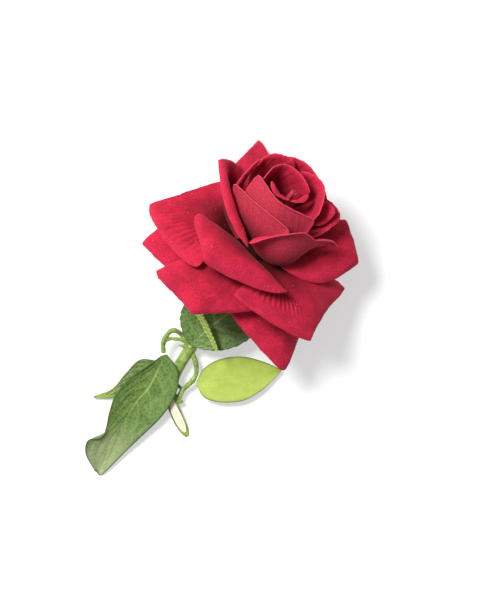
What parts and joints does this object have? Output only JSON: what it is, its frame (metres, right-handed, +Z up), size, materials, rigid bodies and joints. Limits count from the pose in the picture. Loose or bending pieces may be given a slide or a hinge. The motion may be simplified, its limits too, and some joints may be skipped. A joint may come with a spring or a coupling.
{
  "type": "crepe paper rose",
  "caption": "Red crepe paper rose lying on its back petals, with layered curled petals, green calyx and leaves, and a short stem cut on a long slant.",
  "frame": {"origin": "on the table, under the middle of the bounding box, with the rose lying as it rests", "axes": "+Z up from the table; +Y from the stem toward the bloom, as the rose lies"},
  "size_m": [0.1194, 0.148, 0.0622],
  "materials": {
    "petal_paper": "matte, soft fuzzy crepe",
    "bud_wadding": "matte",
    "calyx_paper": "matte, pleated",
    "stem_plastic": "satin moulded",
    "core_fibre": "matte, fibrous cut",
    "leaf_paper": "matte, printed veins",
    "lime_paper": "matte"
  },
  "bodies": {
    "root": {"outer_petal_1": "petal_paper", "outer_petal_2": "petal_paper", "outer_petal_3": "petal_paper", "outer_petal_4": "petal_paper", "outer_petal_5": "petal_paper", "outer_petal_6": "petal_paper", "outer_petal_7": "petal_paper", "outer_petal_8": "petal_paper", "outer_petal_9": "petal_paper", "outer_petal_10": "petal_paper", "cup_petal_1": "petal_paper", "cup_petal_2": "petal_paper", "cup_petal_3": "petal_paper", "cup_petal_4": "petal_paper", "cup_petal_5": "petal_paper", "cup_petal_6": "petal_paper", "cup_petal_7": "petal_paper", "inner_petal_1": "petal_paper", "inner_petal_2": "petal_paper", "inner_petal_3": "petal_paper", "inner_petal_4": "petal_paper", "inner_petal_5": "petal_paper", "inner_petal_6": "petal_paper", "heart_roll": "petal_paper", "receptacle": "bud_wadding", "calyx": "calyx_paper", "sepal_1": "calyx_paper", "sepal_2": "calyx_paper", "sepal_3": "calyx_paper", "sepal_4": "calyx_paper", "sepal_5": "calyx_paper", "stem_skin": "stem_plastic", "stem_core": "core_fibre", "leaf_large": "leaf_paper", "leaf_under": "leaf_paper", "leaf_back": "leaf_paper", "leaf_lime": "lime_paper"}
  },
  "joints": []
}
